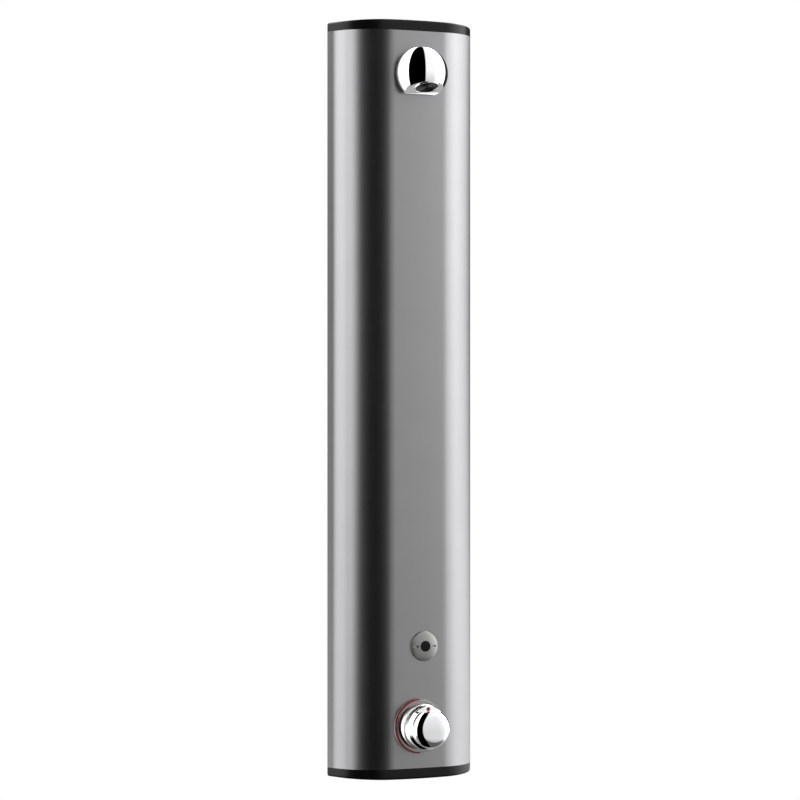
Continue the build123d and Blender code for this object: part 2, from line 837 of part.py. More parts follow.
def bush_seat():
    """Height of the bush's floor over the knob's axis, where the spring stands."""
    return button_top(0) - bush_length


def button_bush():
    """Dark guide bush of the stop button, set flush in the skirt."""
    start = bush_seat()
    bush = oval(bush_rim, start - bush_floor, start + bush_length)
    bush -= oval(running, start, start + bush_length + 1)
    return bush - rod(button_stem_radius + running, 0, start + 1)


def at_button(shape):
    """Places a shape built along +Z over the knob's axis."""
    return Pos(0, front - knob_start - button_position, mixer_height) * shape


def stop_button():
    """Round push button with a crowned top and a guided stem."""
    top = button_top(button_proud)
    body = oval(0, top - button_height, top)
    body = fillet(body.edges().sort_by(Axis.Z)[-1], 2 * button_proud)
    start = hub_radius + button_travel + 2
    return body + rod(button_stem_radius, start, top - 1)


def button_spring():
    """Return spring between the bush's floor and the button."""
    return coil_spring(bush_seat(), button_top(button_proud) - button_height)


def coil_spring(start, end):
    """Compression spring as one wire of straight chords and tangent arcs."""
    per_turn = 8
    count = per_turn * spring_turns
    climb = (end - start - 2 * spring_wire) / count
    points = []
    for step in range(count + 1):
        angle = 2 * pi * step / per_turn
        level = start + spring_wire + climb * step
        points.append((spring_radius * cos(angle), spring_radius * sin(angle), level))
    path = FilletPolyline(*points, radius=0.8 * spring_radius)
    return swept_pipe(path, spring_wire, 0)


def stop_valve(side):
    """Angle stop valve: wall inlet behind, plug from the side, outlet below."""
    middle = (side * inlet_spacing / 2, -pipe_depth, inlet_height)
    barrel = Plane(origin=(middle[0], -valve_back, inlet_height), x_dir=(1, 0, 0), z_dir=(0, -1, 0)).location
    outward = Plane(origin=middle, x_dir=(0, 0, 1), z_dir=(side, 0, 0)).location
    below = Plane(origin=middle, x_dir=(1, 0, 0), z_dir=(0, 0, -1)).location
    body = barrel * rod(valve_radius, 0, valve_front - valve_back)
    body = chamfer(body.edges().filter_by(GeomType.CIRCLE).sort_by(Axis.Y)[0], 2)
    body += outward * rod(gland_radius, 0, valve_radius + gland_length)
    body += below * rod(mixer_arm_radius, 0, valve_arm_reach)
    body -= barrel * rod(inlet_thread_radius, -1, inlet_thread_length)
    body -= barrel * rod(plug_port, 0, pipe_depth - valve_back)
    body -= outward * rod(plug_radius + running, -plug_radius, valve_radius + gland_length + 1)
    body -= below * rod(feed_radius, 0, valve_arm_reach + 1)
    return body


def stop_plug(side):
    """Quarter-turn plug with an angled port and a screwdriver slot."""
    middle = (side * inlet_spacing / 2, -pipe_depth, inlet_height)
    outward = Plane(origin=middle, x_dir=(0, 0, 1), z_dir=(side, 0, 0)).location
    end = plug_length - plug_radius
    body = rod(plug_radius, slip - plug_radius, end)
    slot = Pos(0, 0, end) * Box(3 * plug_radius, plug_slot_width, 2 * plug_slot_depth)
    body = outward * (body - slot)
    for direction in ((0, 1, 0), (0, 0, -1)):
        body -= Plane(origin=middle, z_dir=direction).location * rod(plug_port - 1, 0, 2 * plug_radius)
    return body


def feed_path(side):
    """Centre line of a feed pipe from its stop valve to the mixer."""
    x = side * inlet_spacing / 2
    start = (x, -pipe_depth, inlet_height - valve_arm_reach)
    corner = (x, -pipe_depth, mixer_height)
    end = (side * mixer_arm_reach, -pipe_depth, mixer_height)
    return FilletPolyline(start, corner, end, radius=feed_bend)


def mixed_path():
    """Centre line of the pipe from the mixer up to the solenoid valve."""
    start = (0, -pipe_depth, mixer_height + mixer_arm_reach)
    return Line(start, (0, -pipe_depth, solenoid_height - solenoid_arm_reach))


def compression_nut(origin, direction, pipe_radius, arm_radius):
    """Nut over the joint between an arm and a pipe; direction points along the pipe."""
    nut = hexagon(nut_flats, -nut_length / 2, nut_length / 2)
    nut -= rod(arm_radius + thread_gap, -nut_length, 0)
    nut -= rod(pipe_radius + thread_gap, -1, nut_length)
    nut = chamfer(nut.edges().group_by(Axis.Z)[-1].filter_by(GeomType.LINE), 0.8)
    return Plane(origin=origin, z_dir=direction).location * nut


def pipe_nuts():
    """The six compression nuts of the lower pipework."""
    nuts = []
    for side in (-1, 1):
        x = side * inlet_spacing / 2
        valve_end = (x, -pipe_depth, inlet_height - valve_arm_reach)
        mixer_end = (side * mixer_arm_reach, -pipe_depth, mixer_height)
        nuts.append(compression_nut(valve_end, (0, 0, -1), feed_radius, mixer_arm_radius))
        nuts.append(compression_nut(mixer_end, (side, 0, 0), feed_radius, mixer_arm_radius))
    ends = (mixer_height + mixer_arm_reach, solenoid_height - solenoid_arm_reach)
    for height, up in zip(ends, (1, -1)):
        nuts.append(compression_nut((0, -pipe_depth, height), (0, 0, up), riser_radius, mixer_arm_radius))
    top = (0, -pipe_depth, solenoid_height + solenoid_arm_reach)
    nuts.append(compression_nut(top, (0, 0, 1), riser_radius, mixer_arm_radius))
    return nuts


def solenoid_axis():
    """Plane on the valve's centre with its normal towards the front, along the coil."""
    return Plane(origin=(0, -pipe_depth, solenoid_height), x_dir=(1, 0, 0), z_dir=(0, -1, 0)).location


def solenoid_body():
    """Valve block with its two arms and the guide tube of the plunger."""
    half = solenoid_depth / 2
    body = Pos(0, -pipe_depth, solenoid_height) * Box(solenoid_width, solenoid_depth, solenoid_length)
    body = fillet(body.edges().filter_by(Axis.Y), 5)
    body += Pos(0, -pipe_depth, solenoid_height) * Cylinder(solenoid_arm_radius, 2 * solenoid_arm_reach)
    body += solenoid_axis() * rod(plunger_radius + 1.5, half, half + coil_length - 1)
    body -= solenoid_axis() * rod(plunger_radius + running, -plunger_radius, half + coil_length - 2.5)
    body -= Pos(0, -pipe_depth, solenoid_height) * Cylinder(waterway_radius - 1, 2 * solenoid_arm_reach + 1)
    return body


def solenoid_coil():
    """Coil bobbin with end flanges round the guide tube."""
    start = solenoid_depth / 2
    inner = plunger_radius + 1.5 + running
    coil = tube(coil_radius - 1.5, inner, start, start + coil_length)
    coil += tube(coil_radius, inner, start, start + coil_flange)
    coil += tube(coil_radius, inner, start + coil_length - coil_flange, start + coil_length)
    place = Plane(origin=(0, -cable_depth, solenoid_height), z_dir=(1, 0, 0)).location
    gland = place * rod(cable_radius + cable_gland, coil_radius - 3, coil_radius + cable_gland)
    return solenoid_axis() * coil + gland


def solenoid_plunger():
    """Magnetic plunger that lifts off its seat."""
    start = solenoid_depth / 2 - plunger_radius
    plunger = rod(plunger_radius, start, start + plunger_length)
    plunger = chamfer(plunger.edges().sort_by(Axis.Z)[0], 1)
    return solenoid_axis() * plunger


def box_front():
    """Front face of the controller box, a little behind the rails."""
    return rail_face() + box_standoff


def controller_frame():
    """Middle of the controller box."""
    return Pos(box_left + box_width / 2, box_front() + box_depth / 2, box_bottom + box_height / 2)


def controller_box():
    """Moulded box on the right rail, open to the rear."""
    body = controller_frame() * Box(box_width, box_depth, box_height)
    body = fillet(body.edges().filter_by(Axis.Y), 4)
    cavity = Box(box_width - 2 * box_wall, box_depth, box_height - 2 * box_wall)
    body -= controller_frame() * Pos(0, box_wall, 0) * cavity
    foot = Box(rail_width, 2 * box_standoff, rail_width)
    for end in (-1, 1):
        z = box_bottom + box_height / 2 + end * box_height / 3
        body += Pos(rail_spacing / 2, box_front(), z) * foot
    return body


def controller_lid():
    """Screwed lid of the controller box."""
    lid = Pos(0, (box_depth + lid_thickness) / 2, 0) * Box(box_width, lid_thickness, box_height)
    lid = controller_frame() * lid
    return fillet(lid.edges().filter_by(Axis.Y), 4)


def circuit_board():
    """Circuit board on the floor of the box, with its relay and connector."""
    width = box_width - 2 * (box_wall + 1)
    height = box_height - 2 * (box_wall + 1)
    floor = box_wall + board_gap
    board = controller_frame() * Pos(0, floor - box_depth / 2, 0) * Box(width, board_thickness, height)
    relay = Pos(0, floor - box_depth / 2 + 5, -height / 3) * Box(width / 3, 10, width / 4)
    relay = controller_frame() * relay
    return board + relay


def battery():
    """Battery block above the board."""
    place = controller_frame() * Pos(0, (box_depth - battery_depth) / 2 - 1, box_height / 4)
    return fillet((place * Box(battery_width, battery_depth, battery_height)).edges().filter_by(Axis.Z), 3)


def cable_path(start, column, height):
    """Cable route: out to its column, then up to the box."""
    corner = (column, -cable_depth, height)
    return FilletPolyline(start, corner, (column, -cable_depth, box_bottom), radius=cable_bend)


def sensor_cable():
    """Lead from the sensor to the controller."""
    start = (sensor_offset + sensor_core_radius + cable_gland, -cable_depth, sensor_height)
    return swept_pipe(cable_path(start, sensor_cable_column, sensor_height), cable_radius, 0)


def valve_cable():
    """Lead from the coil to the controller."""
    start = (coil_radius + cable_gland, -cable_depth, solenoid_height)
    return swept_pipe(cable_path(start, valve_cable_column, solenoid_height), cable_radius, 0)


def save(name, shapes):
    """Writes one node, a single solid or a group of separate ones."""
    solids = shapes if isinstance(shapes, list) else [shapes]
    made = Compound(children=solids) if len(solids) > 1 else solids[0]
    export_step(made, f"parts/{name}.step")


def make_all():
    """Builds and writes every node."""
    save("front_profile", front_profile())
    cap = Pos(0, 0, profile_end) * end_cap()
    save("top_cap", cap)
    save("bottom_cap", bottom_cap())
    screws = cap_screws()
    save("top_cap_screws", screws)
    save("bottom_cap_screws", [mirror(screw, Plane.XY) for screw in screws])
    save("upper_wall_bracket", wall_bracket(bracket_spacing / 2))
    save("lower_wall_bracket", lower_bracket())
    save("bracket_lock_bolts", lock_bolts())
    save("shower_head_body", shower_head_body())
    save("head_outlet_ring", head_outlet_ring())
    save("spray_nozzle", spray_nozzle())
    save("head_seal", head_gasket_ring())
    save("head_lock_nut", head_lock_nut())
    save("head_union_nut", head_union_nut())
    save("riser_pipe", swept_pipe(riser_path(), riser_radius, riser_radius - pipe_wall))
    save("riser_clips", [riser_clip(height) for height in clip_positions])
    save("clip_screws", clip_screws())
    save("sensor_bezel", sensor_bezel())
    save("sensor_window", sensor_window())
    save("sensor_core", sensor_core())
    save("sensor_seal", seal_ring(sensor_height, sensor_offset, bezel_radius - 0.8, barrel_radius + slip))
    save("sensor_nut", sensor_nut())
    save("sensor_cable", sensor_cable())
    save("mixer_body", mixer_body())
    save("thermostat_cartridge", thermostat_cartridge())
    save("cartridge_spindle", cartridge_spindle())
    save("mixer_lock_ring", mixer_lock_ring())
    save("cartridge_nut", cartridge_nut())
    save("base_rosette", base_rosette())
    save("rosette_seal", seal_ring(mixer_height, 0, rosette_radius - 0.8, neck_radius + slip))
    save("temperature_arc", temperature_arc())
    save("knob_collar", knob_collar())
    save("thermostat_knob", thermostat_knob())
    save("index_dot", index_dot())
    save("knob_grub_screw", grub_screw())
    save("button_bush", at_button(button_bush()))
    save("stop_button", at_button(stop_button()))
    save("button_spring", at_button(button_spring()))
    for side, name in ((-1, "hot"), (1, "cold")):
        save(f"{name}_stop_valve", stop_valve(side))
        save(f"{name}_stop_plug", stop_plug(side))
        save(f"{name}_feed_pipe", swept_pipe(feed_path(side), feed_radius, feed_radius - pipe_wall))
    save("mixed_water_pipe", swept_pipe(mixed_path(), riser_radius, riser_radius - pipe_wall))
    save("pipe_nuts", pipe_nuts())
    save("solenoid_body", solenoid_body())
    save("solenoid_coil", solenoid_coil())
    save("solenoid_plunger", solenoid_plunger())
    save("controller_box", controller_box())
    save("controller_lid", controller_lid())
    save("circuit_board", circuit_board())
    save("battery", battery())
    save("valve_cable", valve_cable())


make_all()
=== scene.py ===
# %% [markdown]
# # Dressing a thermostatic shower panel
# The panel is a tall metal housing that hangs on a bathroom wall. Its shape, its joints and its real
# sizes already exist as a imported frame. This lesson gives each piece the finish that it has in a
# bathroom, and remodels the polished pieces, because a mirror finish shows every flat facet.

# %% Load the frame
import json
from math import atan2, cos, pi, radians, sin, sqrt, tan

import bmesh
import bpy
from mathutils import Matrix, Vector


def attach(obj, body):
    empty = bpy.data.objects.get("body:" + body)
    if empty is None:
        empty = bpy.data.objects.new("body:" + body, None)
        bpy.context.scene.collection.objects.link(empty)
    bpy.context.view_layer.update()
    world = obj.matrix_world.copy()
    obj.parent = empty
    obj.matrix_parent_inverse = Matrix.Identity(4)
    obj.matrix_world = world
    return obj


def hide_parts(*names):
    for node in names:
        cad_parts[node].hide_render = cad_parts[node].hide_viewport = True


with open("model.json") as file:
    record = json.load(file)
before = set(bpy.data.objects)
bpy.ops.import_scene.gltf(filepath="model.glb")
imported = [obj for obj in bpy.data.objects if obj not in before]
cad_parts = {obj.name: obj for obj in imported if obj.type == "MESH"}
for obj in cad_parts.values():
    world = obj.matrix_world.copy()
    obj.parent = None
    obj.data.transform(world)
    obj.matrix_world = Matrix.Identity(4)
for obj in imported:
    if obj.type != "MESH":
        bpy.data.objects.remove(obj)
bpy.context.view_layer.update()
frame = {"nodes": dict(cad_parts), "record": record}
nodes = frame["nodes"]
MM = 0.001
print("pieces in the frame:", len(nodes))

# %% [markdown]
# ## Colours
# A colour picked from a screen is sRGB, and a renderer adds up light in linear values. One function
# turns a hex colour into what the shader sockets want, so that every colour below stays readable.


# %% Turn hex colours into linear ones
def linear(hex_colour):
    """Linear RGBA of an sRGB colour such as "#8a8c8e"."""
    channels = [int(hex_colour[i:i + 2], 16) / 255 for i in (1, 3, 5)]
    bent = [c / 12.92 if c <= 0.04045 else ((c + 0.055) / 1.055) ** 2.4 for c in channels]
    return (*bent, 1.0)


print("mid grey in linear:", round(linear("#808080")[0], 3))

# %% [markdown]
# ## Building node trees
# Every finish is a small tree of shader nodes. One function adds a node, sets its properties and
# joins its inputs, so a material reads as a list of what the surface is made of.


# %% Add one node with its settings and links
def add_node(tree, kind, settings=None, **inputs):
    """Adds a node. settings are its properties; inputs are sockets by name, as values or as sockets."""
    node = tree.nodes.new(kind)
    for name, value in (settings or {}).items():
        setattr(node, name, value)
    for name, value in inputs.items():
        key = int(name[1:]) if name[0] == "_" else name.replace("_", " ")
        if isinstance(value, bpy.types.NodeSocket):
            tree.links.new(value, node.inputs[key])
        else:
            node.inputs[key].default_value = value
    return node


def blank_material(name):
    """A material with an empty tree and its output node."""
    material = bpy.data.materials.new(name)
    material.use_nodes = True
    material.node_tree.nodes.clear()
    return material, material.node_tree, material.node_tree.nodes.new("ShaderNodeOutputMaterial")


def surface_noise(tree, grain_mm, detail=4.0, stretch=(1, 1, 1)):
    """Noise whose grains are about grain_mm wide, drawn out along an axis where stretch is below 1."""
    place = add_node(tree, "ShaderNodeNewGeometry")
    spread = add_node(tree, "ShaderNodeVectorMath", {"operation": "MULTIPLY"}, _0=place.outputs["Position"])
    spread.inputs[1].default_value = stretch
    scale = 1 / (grain_mm * MM)
    return add_node(tree, "ShaderNodeTexNoise", None, Vector=spread.outputs[0], Scale=scale, Detail=detail)


def between(tree, value, low, high):
    """Maps a 0 to 1 value onto the range low to high."""
    mapped = add_node(tree, "ShaderNodeMapRange", None, Value=value, To_Min=low, To_Max=high)
    return mapped.outputs["Result"]


print("helpers ready")

# %% [markdown]
# ## Anodised aluminium
# The housing is an extruded aluminium profile. It is brushed along its length and then anodised,
# which leaves a thin clear oxide: the eye sees a soft, satin metal whose reflections are wide and
# blurred, with very fine lines that run from top to bottom. Typical roughness is 0.3 to 0.4. The
# real lines are about 0.1 mm apart, too fine for the picture, so they are drawn about 0.8 mm apart
# and kept faint.
#
# Where a soft light band falls on such a metal depends on small slopes of its surface and on where
# the lamps stand. The table below turns the shading normal about the upright axis, by place across
# the width in mm and by angle in degrees. It is a studio trick that puts the light and dark bands
# where the photograph has them; the shape stays as it is.


# %% Anodised aluminium
PANEL_HALF = 120.0
TURN_LIMIT = 45.0
LINE_WIDTH = 0.8
CLOUD_WIDTH = 45.0
flank_turn = (
    (-120, -45), (-118.5, -38), (-117.3, -30), (-116.2, -24), (-115, -18), (-113.5, -11), (-111.5, -5),
    (-106, -2), (-100, -7), (-92, -9), (-75, -9.5), (-62, -11), (-52, -12), (-45, -10), (-41, -6), (-36, 0),
    (38, 0), (44, 3.5), (50, 7), (64, 7), (75, 4), (86, -2), (97, -9), (106, -16), (112, -20), (120, -30))


def turn_across(tree, place):
    """Angle of the shading normal's turn, read from flank_turn by place across the panel."""
    axes = add_node(tree, "ShaderNodeSeparateXYZ", None, _0=place.outputs["Position"])
    edge = PANEL_HALF * MM
    across = axes.outputs["X"]
    share = add_node(tree, "ShaderNodeMapRange", None, Value=across, From_Min=-edge, From_Max=edge)
    turn = add_node(tree, "ShaderNodeFloatCurve", None, Value=share.outputs[0])
    curve = turn.mapping.curves[0]
    for _ in range(len(flank_turn) - 2):
        curve.points.new(0.5, 0.5)
    for point, (mm_across, degrees_turned) in zip(curve.points, flank_turn):
        point.location = (0.5 + mm_across / PANEL_HALF / 2, 0.5 + degrees_turned / TURN_LIMIT / 2)
        point.handle_type = "AUTO_CLAMPED"
    turn.mapping.update()
    return between(tree, turn.outputs[0], -radians(TURN_LIMIT), radians(TURN_LIMIT))


def anodised_aluminium():
    """Brushed and anodised profile metal."""
    material, tree, out = blank_material("anodised_aluminium")
    lines = surface_noise(tree, LINE_WIDTH, 3.0, (1, 1, 0.01))
    cloud = surface_noise(tree, CLOUD_WIDTH, 2.0)
    roughness = between(tree, lines.outputs["Fac"], 0.31, 0.37)
    height = lines.outputs["Fac"]
    bump = add_node(tree, "ShaderNodeBump", None, Strength=0.04, Distance=0.02 * MM, Height=height)
    angle = turn_across(tree, add_node(tree, "ShaderNodeNewGeometry"))
    normal = bump.outputs["Normal"]
    bent = add_node(tree, "ShaderNodeVectorRotate", {"rotation_type": "Z_AXIS"}, Vector=normal, Angle=angle)
    tone = add_node(tree, "ShaderNodeMix", {"data_type": "RGBA"}, Factor=cloud.outputs["Fac"])
    tone.inputs[6].default_value = linear("#858586")
    tone.inputs[7].default_value = linear("#8a8a8b")
    shader = add_node(tree, "ShaderNodeBsdfPrincipled", None, Base_Color=tone.outputs[2], Metallic=1.0,
                      Roughness=roughness, Normal=bent.outputs[0])
    tree.links.new(shader.outputs[0], out.inputs["Surface"])
    return material


print("the normal is turned at", len(flank_turn), "places across the panel")

# %% [markdown]
# ## Metals that are turned, cast, plated or drawn
# The other metals differ in colour, in how smooth they are and in the marks of the tool that made
# them. Chrome plate is almost a mirror. Cast brass is dull and slightly mottled, turned steel is
# satin, and zinc-plated sheet has a cool, cloudy sheen. One function builds them, because only
# those values change. Metals keep the shader's own IOR.


# %% A metal with fine marks
def metal(name, dark, light, roughness, grain_mm, bump_mm, spread=0.25):
    """Metal whose colour and roughness wander over patches of grain_mm."""
    material, tree, out = blank_material(name)
    patches = surface_noise(tree, grain_mm, 5.0)
    tone = add_node(tree, "ShaderNodeMix", {"data_type": "RGBA"}, Factor=patches.outputs["Fac"])
    tone.inputs[6].default_value = linear(dark)
    tone.inputs[7].default_value = linear(light)
    rough = between(tree, patches.outputs["Fac"], roughness * (1 - spread), roughness * (1 + spread))
    height = patches.outputs["Fac"]
    bump = add_node(tree, "ShaderNodeBump", None, Strength=0.3, Distance=bump_mm * MM, Height=height)
    shader = add_node(tree, "ShaderNodeBsdfPrincipled", None, Base_Color=tone.outputs[2], Metallic=1.0,
                      Roughness=rough, Normal=bump.outputs["Normal"])
    tree.links.new(shader.outputs[0], out.inputs["Surface"])
    print("metal mixed:", name)
    return material


# %% [markdown]
# ## Moulded plastics, rubber and laminate
# ABS caps come out of a spark-eroded mould with a fine even grain, so they are matt black with a
# soft highlight. Nylon clips are waxy, rubber is duller still, and the sensor's lens is polished.
# All of them reflect like plastic, with an IOR near 1.5.


# %% A plastic with a moulded grain
def plastic(name, dark, light, roughness, grain_mm, bump_mm, ior=1.5, shine=0.5):
    """Moulded plastic or rubber with an even surface grain."""
    material, tree, out = blank_material(name)
    grain = surface_noise(tree, grain_mm, 2.0)
    patches = surface_noise(tree, 30 * grain_mm, 3.0)
    tone = add_node(tree, "ShaderNodeMix", {"data_type": "RGBA"}, Factor=patches.outputs["Fac"])
    tone.inputs[6].default_value = linear(dark)
    tone.inputs[7].default_value = linear(light)
    rough = between(tree, patches.outputs["Fac"], roughness * 0.9, roughness * 1.1)
    height = grain.outputs["Fac"]
    bump = add_node(tree, "ShaderNodeBump", None, Strength=0.4, Distance=bump_mm * MM, Height=height)
    shader = add_node(tree, "ShaderNodeBsdfPrincipled", None, Base_Color=tone.outputs[2], IOR=ior,
                      Specular_IOR_Level=shine, Roughness=rough, Normal=bump.outputs["Normal"])
    tree.links.new(shader.outputs[0], out.inputs["Surface"])
    print("plastic mixed:", name)
    return material


# %% Make every finish once
finishes = {
    "anodised_aluminium": anodised_aluminium(),
    "chrome_plate": metal("chrome_plate", "#e6e7e8", "#eceded", 0.035, 60.0, 0.002),
    "satin_steel": metal("satin_turned_steel", "#828280", "#8e8e8c", 0.3, 0.9, 0.004, 0.1),
    "stainless_screws": metal("stainless_steel", "#a9a9a7", "#bdbdba", 0.3, 2.0, 0.01),
    "stainless_tube": metal("drawn_stainless_tube", "#a5a5a2", "#b8b8b5", 0.26, 6.0, 0.02),
    "zinc_plated_steel": metal("zinc_plated_sheet", "#8f9499", "#b3b8bc", 0.38, 9.0, 0.02),
    "cast_brass": metal("cast_brass", "#a8813c", "#c79d55", 0.34, 2.5, 0.05),
    "black_abs": plastic("black_abs", "#060607", "#0a0a0b", 0.3, 0.9, 0.01, 1.5, 0.17),
    "nozzle_acetal": plastic("dark_acetal", "#080809", "#0d0d0e", 0.35, 0.8, 0.01, 1.5, 0.3),
    "clip_nylon": plastic("natural_nylon", "#c9c6ba", "#d6d3c8", 0.45, 1.2, 0.02),
    "housing_plastic": plastic("grey_abs", "#3a3c3f", "#44464a", 0.5, 0.9, 0.03),
    "cartridge_plastic": plastic("white_acetal", "#cfcfca", "#dadad6", 0.38, 1.0, 0.01),
    "seal_rubber": plastic("nitrile_rubber", "#0b0b0b", "#131313", 0.7, 0.8, 0.03),
    "cable_pvc": plastic("pvc_sheath", "#101011", "#19191a", 0.5, 0.8, 0.02),
    "lens_black": plastic("polished_polycarbonate", "#020202", "#030303", 0.06, 30.0, 0.001, 1.585, 0.12),
    "red_marking": plastic("red_abs", "#780818", "#860b1c", 0.3, 1.0, 0.005, 1.5, 0.3),
    "board_laminate": plastic("solder_masked_laminate", "#0b3a1e", "#0f4826", 0.3, 3.0, 0.02, 1.55),
    "battery_wrap": plastic("shrink_film", "#16171b", "#202228", 0.25, 6.0, 0.03),
}
print("finishes:", len(finishes))

# %% [markdown]
# ## Smooth shading without touching the frame
# The frame's meshes are made of flat triangles. A small geometry-nodes modifier shades every edge
# smooth unless it is a real corner, so tubes look round while the stored mesh stays as it is.
#
# In the photograph the chrome pieces show no housing behind them. So a second trick is used: glossy
# rays see only the pieces that stand on the front, and pass the housing and what is inside it.


# %% A modifier that smooths shallow edges
SHARP_TURN = 28


def smoothing_group():
    """Node group that keeps edges sharp only where they turn by more than SHARP_TURN degrees."""
    group = bpy.data.node_groups.new("smooth_shallow_edges", "GeometryNodeTree")
    group.interface.new_socket("Geometry", in_out="INPUT", socket_type="NodeSocketGeometry")
    group.interface.new_socket("Geometry", in_out="OUTPUT", socket_type="NodeSocketGeometry")
    start = add_node(group, "NodeGroupInput")
    angle = add_node(group, "GeometryNodeInputMeshEdgeAngle")
    shallow = add_node(group, "FunctionNodeCompare", {"operation": "LESS_THAN"}, _0=angle.outputs[0],
                       _1=radians(SHARP_TURN))
    geometry = start.outputs[0]
    joined = add_node(group, "GeometryNodeMergeByDistance", None, Geometry=geometry, Distance=0.001 * MM)
    faces = add_node(group, "GeometryNodeSetShadeSmooth", {"domain": "FACE"}, _0=joined.outputs[0])
    edges = add_node(group, "GeometryNodeSetShadeSmooth", {"domain": "EDGE"}, _0=faces.outputs[0])
    group.links.new(shallow.outputs[0], edges.inputs["Shade Smooth"])
    finish = add_node(group, "NodeGroupOutput", None, _0=edges.outputs[0])
    print("smoothing group ends in", finish.name)
    return group


smooth_shallow_edges = smoothing_group()


# %% Give every node of the frame its finish
def dress(node, finish):
    """Puts a finish on a node of the frame and shades it smooth."""
    node.data.materials.clear()
    node.data.materials.append(finish)
    smoother = node.modifiers.new("smooth", "NODES")
    smoother.node_group = smooth_shallow_edges


slot_of = {part["node"]: part["material_slot"] for part in frame["record"]["subparts"]}
pieces_on_front = (
    "shower_head_body", "head_outlet_ring", "spray_nozzle", "head_seal",
    "sensor_bezel", "sensor_window", "sensor_seal",
    "base_rosette", "temperature_arc", "knob_collar", "rosette_seal",
    "thermostat_knob", "index_dot", "stop_button", "button_bush")
for name, node in nodes.items():
    dress(node, finishes[slot_of[name]])
    node.visible_glossy = name in pieces_on_front
print("dressed", len(nodes), "nodes")

# %% [markdown]
# ## Helpers for turned pieces
# Ball, knob, bezel and rings are turned on a lathe. Each is drawn as a half outline of radius and
# height, with its edges rounded as the real ones are, and then spun round an axis that points out
# of the panel. 144 steps keep a mirror finish free of facets.


# %% Rounded outlines and spun meshes
SPIN_STEPS = 144
EASED_TURN = 35


def rounded(corners, arc_steps=6):
    """Outline through (radius, height, rounding) corners in mm, with each corner eased by its rounding."""
    points = []
    for index, (x, y, rounding) in enumerate(corners):
        here = Vector((x, y))
        if rounding == 0 or index in (0, len(corners) - 1):
            points.append(here)
            continue
        before = (Vector(corners[index - 1][:2]) - here).normalized()
        after = (Vector(corners[index + 1][:2]) - here).normalized()
        half = before.angle(after) / 2
        reach = rounding / tan(half)
        start = here + before * reach
        end = here + after * reach
        centre = here + (before + after).normalized() * (rounding / sin(half))
        for step in range(arc_steps + 1):
            share = step / arc_steps
            ray = (start - centre).lerp(end - centre, share)
            points.append(centre + ray.normalized() * rounding)
    return points


def spun(name, points, place, closed=False):
    """Mesh of revolution about the local Z axis of place, from points in mm."""
    mesh = bmesh.new()
    rings = []
    for point in points:
        if point.x < 1e-6:
            rings.append([mesh.verts.new((0, 0, point.y * MM))])
            continue
        ring = []
        for step in range(SPIN_STEPS):
            turn = 2 * pi * step / SPIN_STEPS
            ring.append(mesh.verts.new((point.x * MM * cos(turn), point.x * MM * sin(turn), point.y * MM)))
        rings.append(ring)
    pairs = list(zip(rings, rings[1:])) + ([(rings[-1], rings[0])] if closed else [])
    for lower, upper in pairs:
        for step in range(SPIN_STEPS):
            after = (step + 1) % SPIN_STEPS
            corners = [lower[step % len(lower)], lower[after % len(lower)],
                       upper[after % len(upper)], upper[step % len(upper)]]
            unique = list(dict.fromkeys(corners))
            if len(unique) > 2:
                mesh.faces.new(unique)
    bmesh.ops.recalc_face_normals(mesh, faces=mesh.faces)
    return new_piece(name, mesh, place)


def new_piece(name, mesh, place):
    """Object from a bmesh, moved to its place with the move baked into the mesh."""
    data = bpy.data.meshes.new(name)
    mesh.to_mesh(data)
    mesh.free()
    data.transform(place)
    piece = bpy.data.objects.new(name, data)
    bpy.context.scene.collection.objects.link(piece)
    return piece


def settle(piece):
    """Turns a piece's modifiers into its mesh."""
    bpy.context.view_layer.update()
    shown = piece.evaluated_get(bpy.context.evaluated_depsgraph_get())
    old = piece.data
    piece.data = bpy.data.meshes.new_from_object(shown)
    piece.modifiers.clear()
    bpy.data.meshes.remove(old)
    return piece


def cut_away(piece, tool):
    """Cuts a tool out of a piece and deletes the tool."""
    cut = piece.modifiers.new("cut", "BOOLEAN")
    cut.object = tool
    cut.operation = "DIFFERENCE"
    cut.solver = "EXACT"
    settle(piece)
    bpy.data.objects.remove(tool)
    return piece


def ease_edges(piece, width_mm):
    """Rounds the sharp edges of a piece, as polishing or moulding does."""
    bevel = piece.modifiers.new("ease", "BEVEL")
    bevel.width = width_mm * MM
    bevel.segments = 2
    bevel.limit_method = "ANGLE"
    bevel.angle_limit = radians(EASED_TURN)
    bevel.use_clamp_overlap = True
    return settle(piece)


def finish_piece(piece, slot, body, *replaced):
    """Gives a piece its finish and its body, and hides the frame's nodes that it stands for."""
    piece.data.materials.clear()
    piece.data.materials.append(finishes[slot])
    piece.data.shade_smooth()
    piece.data.set_sharp_from_angle(angle=radians(SHARP_TURN))
    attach(piece, body)
    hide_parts(*replaced)
    print(piece.name, len(piece.data.vertices), "points")
    return piece


print("each spun facet turns by", 360 / SPIN_STEPS, "degrees")

# %% [markdown]
# ## Places on the panel
# Head, sensor and knob sit on the crowned front, each at its own height. A place is a matrix whose Z
# axis points out of the front, so a turned piece is drawn once and then put where it belongs.


# %% Places on the front of the panel
PANEL_DEPTH = 70.0
CROWN_RADIUS = 1400.0
HEAD_HEIGHT = 493.0
SENSOR_HEIGHT = -374.0
SENSOR_OFFSET = 9.0
KNOB_HEIGHT = -494.5
SEAL = 0.8
CROWN_REACH = 60.0
FIT = 0.1


def facing(x, y, z, normal):
    """Matrix whose local Z is the normal, at a point in mm; local X stays level."""
    out = Vector(normal).normalized()
    across = Vector((1, 0, 0))
    up = out.cross(across).normalized()
    turn = Matrix((across, up, out)).transposed().to_4x4()
    return Matrix.Translation(Vector((x, y, z)) * MM) @ turn


